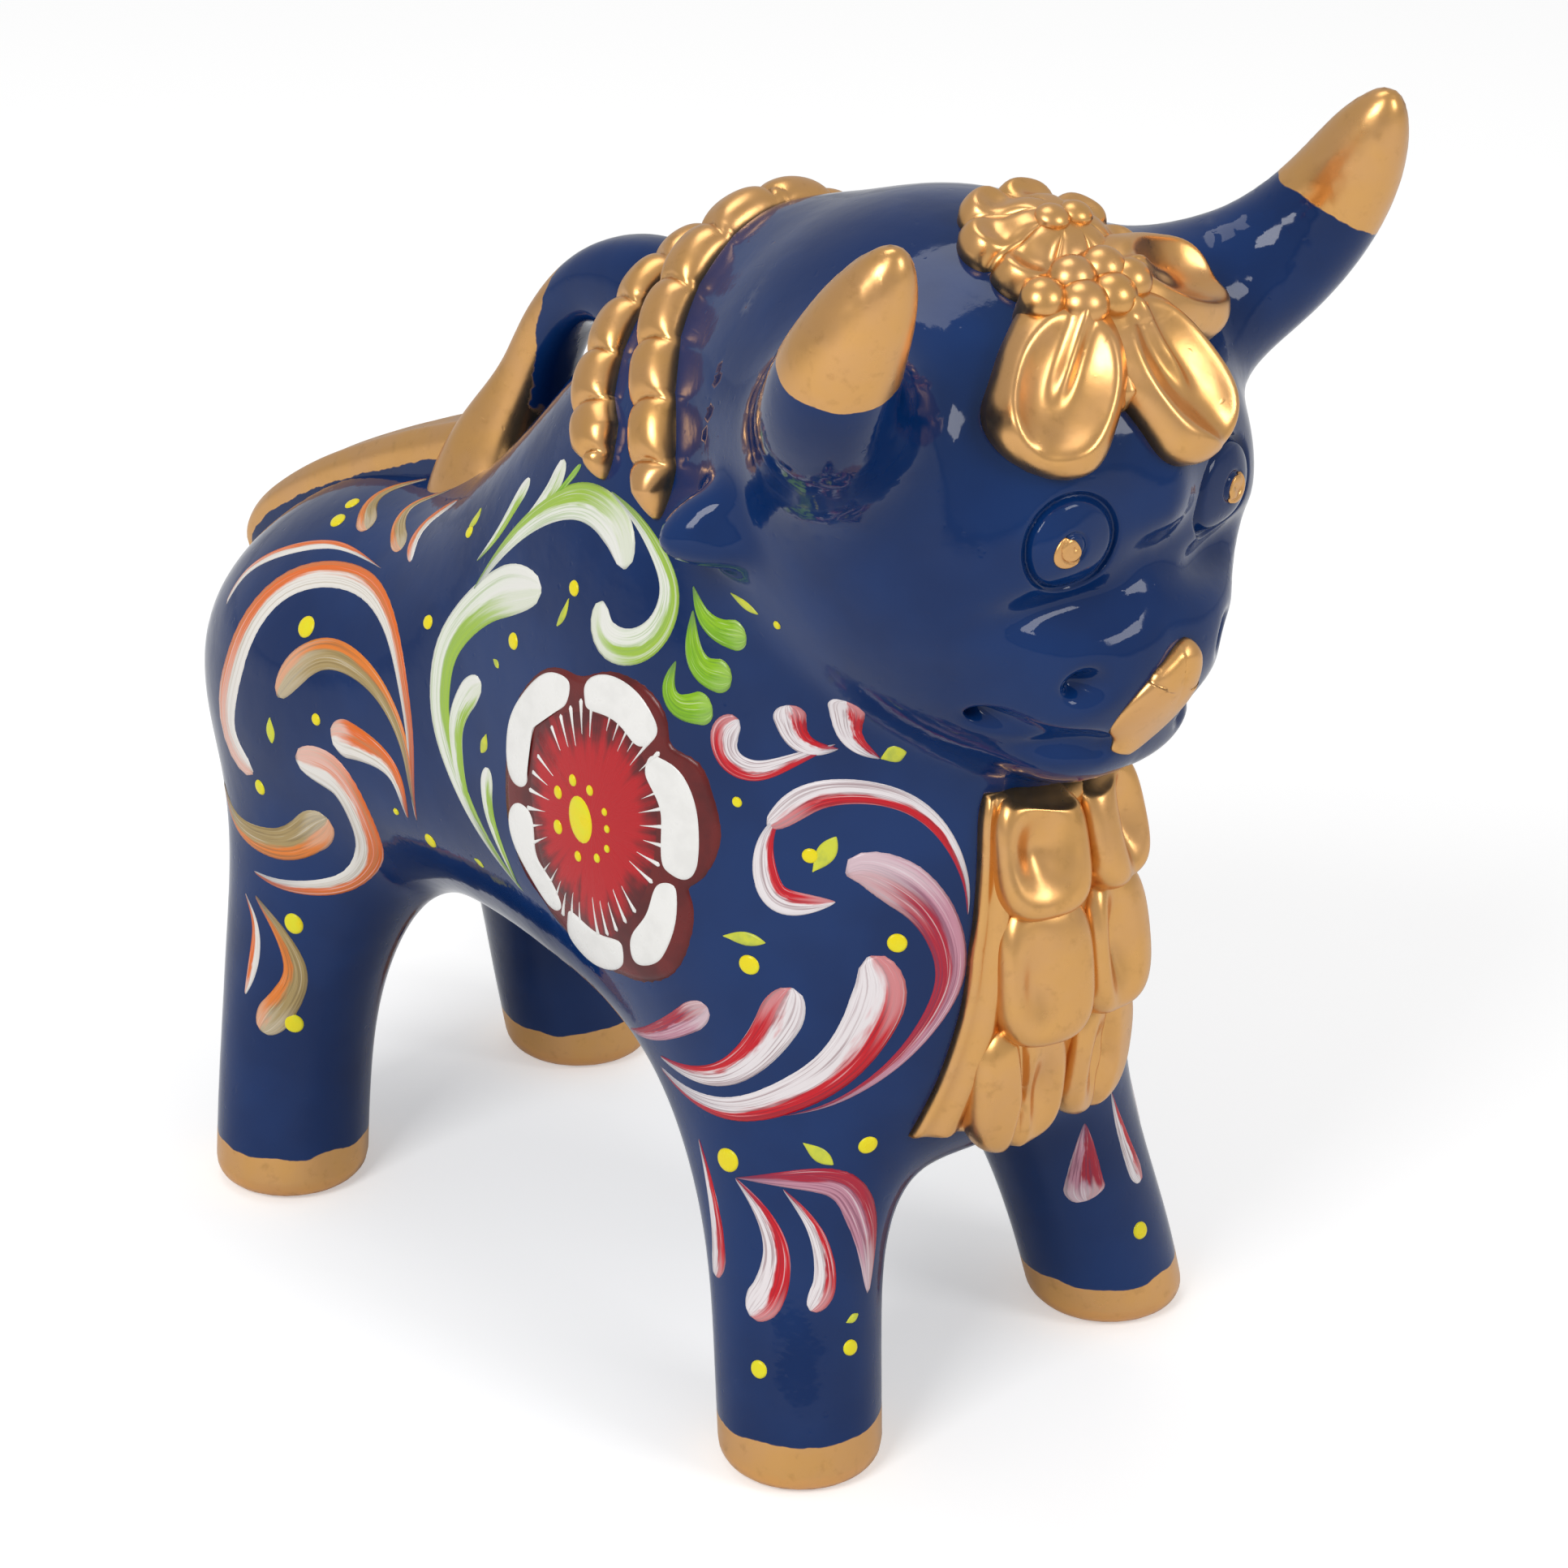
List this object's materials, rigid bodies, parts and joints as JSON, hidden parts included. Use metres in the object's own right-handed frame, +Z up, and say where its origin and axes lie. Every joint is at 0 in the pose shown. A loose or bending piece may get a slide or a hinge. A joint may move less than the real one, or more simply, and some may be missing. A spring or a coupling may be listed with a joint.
{
  "type": "ceramic bull figurine",
  "caption": "Standing hollow glazed-clay bull with a strap handle over its back, upswept horns, lobed neck ropes, a forehead rosette and a pleated frill on its chest.",
  "frame": {"origin": "on the floor at the middle of the bounding box, in the bull's mirror plane", "axes": "+Z up, -Y the way the bull faces, +X the bull's own left"},
  "size_m": [0.115, 0.2038, 0.2016],
  "materials": {
    "navy_enamel": "glossy dark blue enamel with painted scrolls",
    "gold_lustre": "gold lustre paint over modelled clay"
  },
  "bodies": {
    "root": {"body_shell": "navy_enamel", "front_left_leg": "navy_enamel", "front_right_leg": "navy_enamel", "rear_left_leg": "navy_enamel", "rear_right_leg": "navy_enamel", "head": "navy_enamel", "left_eye": "navy_enamel", "right_eye": "navy_enamel", "left_horn": "navy_enamel", "right_horn": "navy_enamel", "left_ear": "navy_enamel", "right_ear": "navy_enamel", "tongue": "gold_lustre", "neck_rope_front": "gold_lustre", "neck_rope_rear": "gold_lustre", "back_handle": "gold_lustre", "tail": "gold_lustre", "forehead_flower": "gold_lustre", "ribbon_bud": "gold_lustre", "ribbon_loop_right": "gold_lustre", "ribbon_loop_front": "gold_lustre", "ribbon_loop_left": "gold_lustre", "frill_strip": "gold_lustre", "frill_fold_upper_left": "gold_lustre", "frill_fold_upper_right": "gold_lustre", "frill_fold_middle_left": "gold_lustre", "frill_fold_middle_right": "gold_lustre", "frill_fold_lower_left": "gold_lustre", "frill_fold_lower_right": "gold_lustre"}
  },
  "joints": []
}
